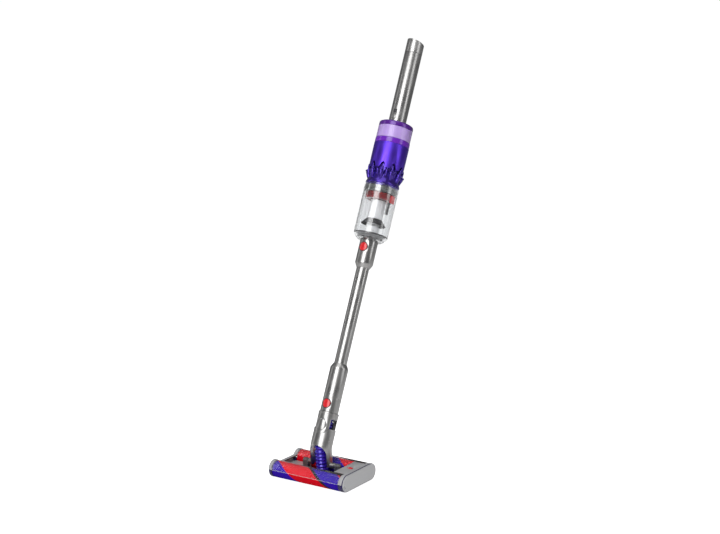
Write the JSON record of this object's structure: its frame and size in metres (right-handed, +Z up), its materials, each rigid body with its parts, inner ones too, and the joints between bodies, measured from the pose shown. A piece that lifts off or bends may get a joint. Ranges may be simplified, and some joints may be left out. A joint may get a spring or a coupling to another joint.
{
  "type": "cordless stick vacuum",
  "caption": "Straight in-line cordless stick vacuum: tube handle, ring filter, cyclones, clear bin, wand and a low head with twin soft rollers on a pitch and roll neck.",
  "frame": {"origin": "middle of the whole object's box, on the floor that the rollers stand on", "axes": "+X to the user's right along the rollers, +Y to the back (the way the stick leans), +Z up"},
  "size_m": [0.208, 0.4908, 0.9866],
  "materials": {
    "aluminium_tube": "polished nickel look, hard-coat",
    "nickel_plastic": "metallic nickel lacquer",
    "head_grey": "satin silver-grey",
    "violet": "tinted, glossy",
    "dark_violet": "glossy",
    "lilac": "translucent, satin",
    "red": "glossy",
    "clear": "clear polycarbonate",
    "dark_grey": "moulded",
    "rubber": "soft",
    "silver_mesh": "metallised, fine perforation",
    "steel": "ground",
    "copper": "lacquered windings",
    "circuit_board": "solder mask",
    "fleece": "soft woven pile, red with violet stripes",
    "filter_paper": "pleated",
    "cell_sleeve": "shrink sleeve"
  },
  "bodies": {
    "handheld": {"handle_tube": "nickel_plastic", "control_board": "circuit_board", "motor_bucket": "dark_grey", "motor_stator": "copper", "bearing_upper": "steel", "bearing_lower": "steel", "exhaust_ring": "dark_violet", "cyclone_cover": "violet", "cyclone_pack": "violet", "bin_top_ring": "dark_grey", "release_ring": "red", "release_rail": "dark_grey", "shroud": "silver_mesh", "wiper_skirt": "rubber", "inlet_pipe": "silver_mesh", "clear_bin": "clear", "bin_base": "dark_grey", "bin_base_seal": "rubber"},
    "motor_shaft": {"motor_rotor": "steel", "impeller": "dark_grey"},
    "filter": {"filter_cap": "dark_violet", "filter_cover": "lilac", "filter_media": "filter_paper", "filter_seal": "rubber"},
    "battery": {"battery_end_cap": "nickel_plastic", "battery_board": "circuit_board", "battery_contacts": "dark_grey", "battery_cell_1": "cell_sleeve", "battery_cell_2": "cell_sleeve", "battery_cell_3": "cell_sleeve", "battery_cell_4": "cell_sleeve"},
    "power_key": {"power_button": "red"},
    "boost_key": {"boost_button": "dark_grey"},
    "bin_catch": {"release_catch": "red"},
    "wand": {"upper_collar": "nickel_plastic", "wand_tube": "aluminium_tube", "lower_collar": "nickel_plastic"},
    "upper_key": {"upper_release_button": "red"},
    "lower_key": {"lower_release_button": "red"},
    "neck": {"connector": "nickel_plastic"},
    "fork": {"yoke": "nickel_plastic", "roll_boss_front": "nickel_plastic", "roll_boss_rear": "nickel_plastic", "hose": "dark_violet"},
    "head": {"head_chassis": "head_grey", "left_end_cap": "head_grey", "front_cover": "clear", "rear_cover": "clear", "pitch_pin_left": "steel", "pitch_pin_right": "steel", "drive_motor": "steel", "drive_belt": "rubber"},
    "latch": {"head_latch": "red"},
    "roller_end": {"end_plate": "head_grey"},
    "front_brush": {"front_roller": "fleece", "front_roller_core": "dark_violet"},
    "rear_brush": {"rear_roller": "fleece", "rear_roller_core": "dark_violet"},
    "front_drive": {"front_pulley": "dark_grey"},
    "rear_drive": {"rear_pulley": "dark_grey"}
  },
  "joints": [
    {"name": "motor_spin", "type": "hinge", "parent": "handheld", "child": "motor_shaft", "pos_m": [0, 0.10817, 0.71218], "axis": [0, 0.4131, 0.9107], "continuous": true},
    {"name": "filter_lift", "type": "slide", "parent": "handheld", "child": "filter", "axis": [0, 0.4131, 0.9107], "range_m": [0, 0.2]},
    {"name": "battery_pull", "type": "slide", "parent": "handheld", "child": "battery", "axis": [0, 0.4131, 0.9107], "range_m": [0, 0.16]},
    {"name": "power_press", "type": "slide", "parent": "handheld", "child": "power_key", "axis": [0, 0.9107, -0.4131], "range_m": [0, 0.0012], "stiffness_N_per_m": 600, "springref_m": -0.001},
    {"name": "boost_press", "type": "slide", "parent": "handheld", "child": "boost_key", "axis": [0, 0.9107, -0.4131], "range_m": [0, 0.0012], "stiffness_N_per_m": 600, "springref_m": -0.001},
    {"name": "bin_catch_slide", "type": "slide", "parent": "handheld", "child": "bin_catch", "axis": [0, -0.4131, -0.9107], "range_m": [0, 0.01], "stiffness_N_per_m": 300, "springref_m": -0.003},
    {"name": "wand_pull", "type": "slide", "parent": "handheld", "child": "wand", "axis": [0, -0.4131, -0.9107], "range_m": [0, 0.036]},
    {"name": "upper_release_press", "type": "slide", "parent": "wand", "child": "upper_key", "axis": [0, 0.9107, -0.4131], "range_m": [0, 0.0015], "stiffness_N_per_m": 600, "springref_m": -0.001},
    {"name": "lower_release_press", "type": "slide", "parent": "wand", "child": "lower_key", "axis": [0, 0.9107, -0.4131], "range_m": [0, 0.0015], "stiffness_N_per_m": 600, "springref_m": -0.001},
    {"name": "neck_pull", "type": "slide", "parent": "wand", "child": "neck", "axis": [0, -0.4131, -0.9107], "range_m": [0, 0.026]},
    {"name": "neck_roll", "type": "hinge", "parent": "neck", "child": "fork", "pos_m": [0, -0.15952, 0.12206], "axis": [0, 0.9107, -0.4131], "range_deg": [-30, 30], "deforming": ["hose"]},
    {"name": "head_pitch", "type": "hinge", "parent": "fork", "child": "head", "pos_m": [0, -0.176, 0.036], "axis": [1, 0, 0], "range_deg": [-18, 45], "deforming": ["hose"]},
    {"name": "latch_slide", "type": "slide", "parent": "head", "child": "latch", "axis": [-1, 0, 0], "range_m": [0, 0.002], "stiffness_N_per_m": 600, "springref_m": -0.001},
    {"name": "roller_pull", "type": "slide", "parent": "head", "child": "roller_end", "axis": [1, 0, 0], "range_m": [0, 0.2]},
    {"name": "front_roller_spin", "type": "hinge", "parent": "roller_end", "child": "front_brush", "pos_m": [0, -0.2245, 0.019], "axis": [1, 0, 0], "continuous": true},
    {"name": "rear_roller_spin", "type": "hinge", "parent": "roller_end", "child": "rear_brush", "pos_m": [0, -0.1275, 0.019], "axis": [1, 0, 0], "continuous": true},
    {"name": "front_pulley_spin", "type": "hinge", "parent": "head", "child": "front_drive", "pos_m": [-0.098, -0.2245, 0.019], "axis": [1, 0, 0], "continuous": true},
    {"name": "rear_pulley_spin", "type": "hinge", "parent": "head", "child": "rear_drive", "pos_m": [-0.098, -0.1275, 0.019], "axis": [1, 0, 0], "continuous": true}
  ],
  "couplings": [
    {"joint": "rear_roller_spin", "follows": "front_roller_spin", "ratio": 1},
    {"joint": "front_pulley_spin", "follows": "front_roller_spin", "ratio": 1},
    {"joint": "rear_pulley_spin", "follows": "front_roller_spin", "ratio": 1}
  ]
}
